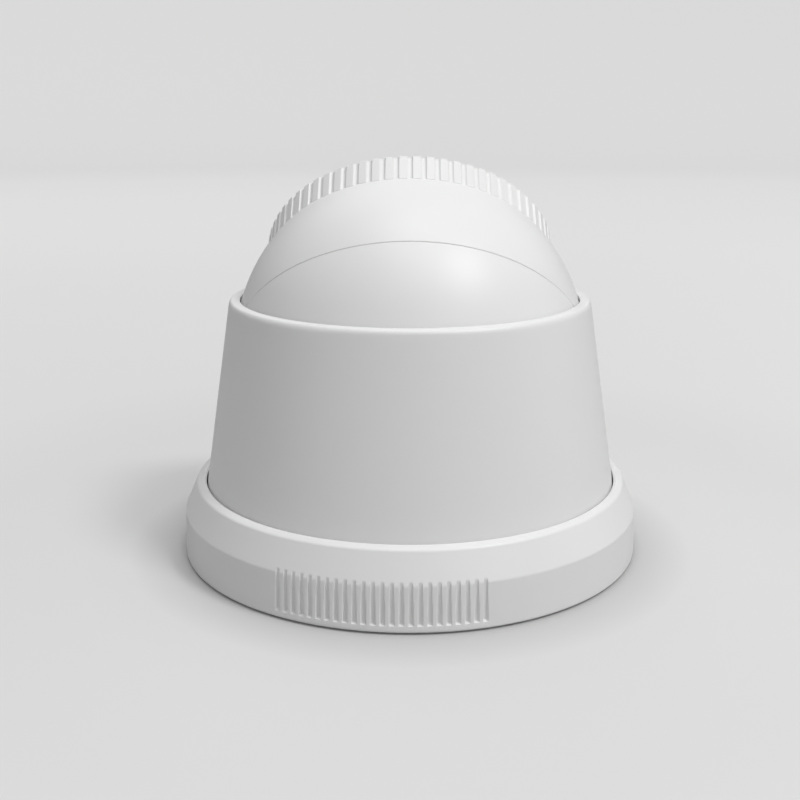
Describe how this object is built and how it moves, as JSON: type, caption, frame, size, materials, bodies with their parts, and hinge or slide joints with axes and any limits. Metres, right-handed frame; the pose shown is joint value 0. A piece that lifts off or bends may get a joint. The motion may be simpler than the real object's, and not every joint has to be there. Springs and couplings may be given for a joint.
{
  "type": "eyeball dome security camera",
  "caption": "Ceiling-mount eyeball camera: twist-on base, tapered cup that pans, ball that tilts in it and a knurled lens ring facing up and away.",
  "frame": {"origin": "centre of the flat mounting face, on the pan axis; the camera stands on this face when it is set down", "axes": "+Z out of the mounting face along the pan axis, -Y the side that the lens leans to, +X along the tilt pivots"},
  "size_m": [0.094, 0.094, 0.0793],
  "materials": {
    "white_shell": "satin moulded white plastic with a very fine even texture",
    "inner_white": "plain moulded off-white plastic, matt",
    "black_plastic": "matt black moulded plastic",
    "rubber": "soft black rubber, matt",
    "glide_plastic": "grey slippery plastic, smooth",
    "dark_glass": "smoked clear pane, polished",
    "filter_glass": "thin coated glass, pale blue",
    "circuit_board": "green solder mask with pale tracks",
    "chip": "black epoxy package",
    "lamp_lens": "dark tinted clear epoxy, polished",
    "steel": "zinc-plated steel"
  },
  "bodies": {
    "base": {"mounting_plate": "inner_white"},
    "lock_ring": {"base_ring": "white_shell"},
    "cup": {"cup_housing": "white_shell", "ball_saddle": "inner_white", "friction_ring": "glide_plastic", "glide_ring": "glide_plastic", "saddle_screw_1": "steel", "saddle_screw_2": "steel", "saddle_screw_3": "steel", "saddle_screw_4": "steel"},
    "ball": {"rear_shell": "white_shell", "front_shell": "white_shell", "cable_grommet": "rubber", "pivot_pin_left": "steel", "pivot_pin_right": "steel", "pivot_washer_left": "rubber", "pivot_washer_right": "rubber", "main_board": "circuit_board", "video_chip": "chip", "cable_socket": "inner_white", "shell_screw_1": "steel", "shell_screw_2": "steel", "shell_screw_3": "steel", "board_screw_1": "steel", "board_screw_2": "steel", "board_screw_3": "steel"},
    "face": {"front_ring": "white_shell", "ring_clip": "steel", "window_gasket": "rubber", "front_window": "dark_glass", "face_mask": "black_plastic", "led_board": "circuit_board", "light_sensor": "lamp_lens", "lens_baffle": "rubber", "module_frame": "black_plastic", "sensor_board": "circuit_board", "image_sensor": "chip", "lens_holder": "black_plastic", "ir_led_01": "lamp_lens", "ir_led_02": "lamp_lens", "ir_led_03": "lamp_lens", "ir_led_04": "lamp_lens", "ir_led_05": "lamp_lens", "ir_led_06": "lamp_lens", "ir_led_07": "lamp_lens", "ir_led_08": "lamp_lens", "ir_led_09": "lamp_lens", "ir_led_10": "lamp_lens", "ir_led_11": "lamp_lens", "ir_led_12": "lamp_lens", "frame_screw_1": "steel", "frame_screw_2": "steel"},
    "lens": {"lens_barrel": "black_plastic", "front_element": "dark_glass"},
    "day_night_filter": {"filter_carriage": "black_plastic", "infrared_filter": "filter_glass", "clear_pane": "filter_glass"}
  },
  "joints": [
    {"name": "ring_twist", "type": "hinge", "parent": "base", "child": "lock_ring", "pos_m": [0, 0, 0], "axis": [0, 0, 1], "range_deg": [0, 25]},
    {"name": "pan", "type": "hinge", "parent": "base", "child": "cup", "pos_m": [0, 0, 0], "axis": [0, 0, 1], "range_deg": [-180, 180]},
    {"name": "tilt", "type": "hinge", "parent": "cup", "child": "ball", "pos_m": [0, 0, 0.0409], "axis": [1, 0, 0], "range_deg": [-46.6, 28.4]},
    {"name": "picture_roll", "type": "hinge", "parent": "ball", "child": "face", "pos_m": [0, 0, 0.0409], "axis": [0, -0.7266, 0.6871], "range_deg": [-175, 175]},
    {"name": "focus", "type": "hinge", "parent": "face", "child": "lens", "pos_m": [0, 0, 0.0409], "axis": [0, -0.7266, 0.6871], "range_deg": [-90, 90]},
    {"name": "filter_shift", "type": "slide", "parent": "face", "child": "day_night_filter", "axis": [1, 0, 0], "range_m": [0, 0.006]}
  ]
}
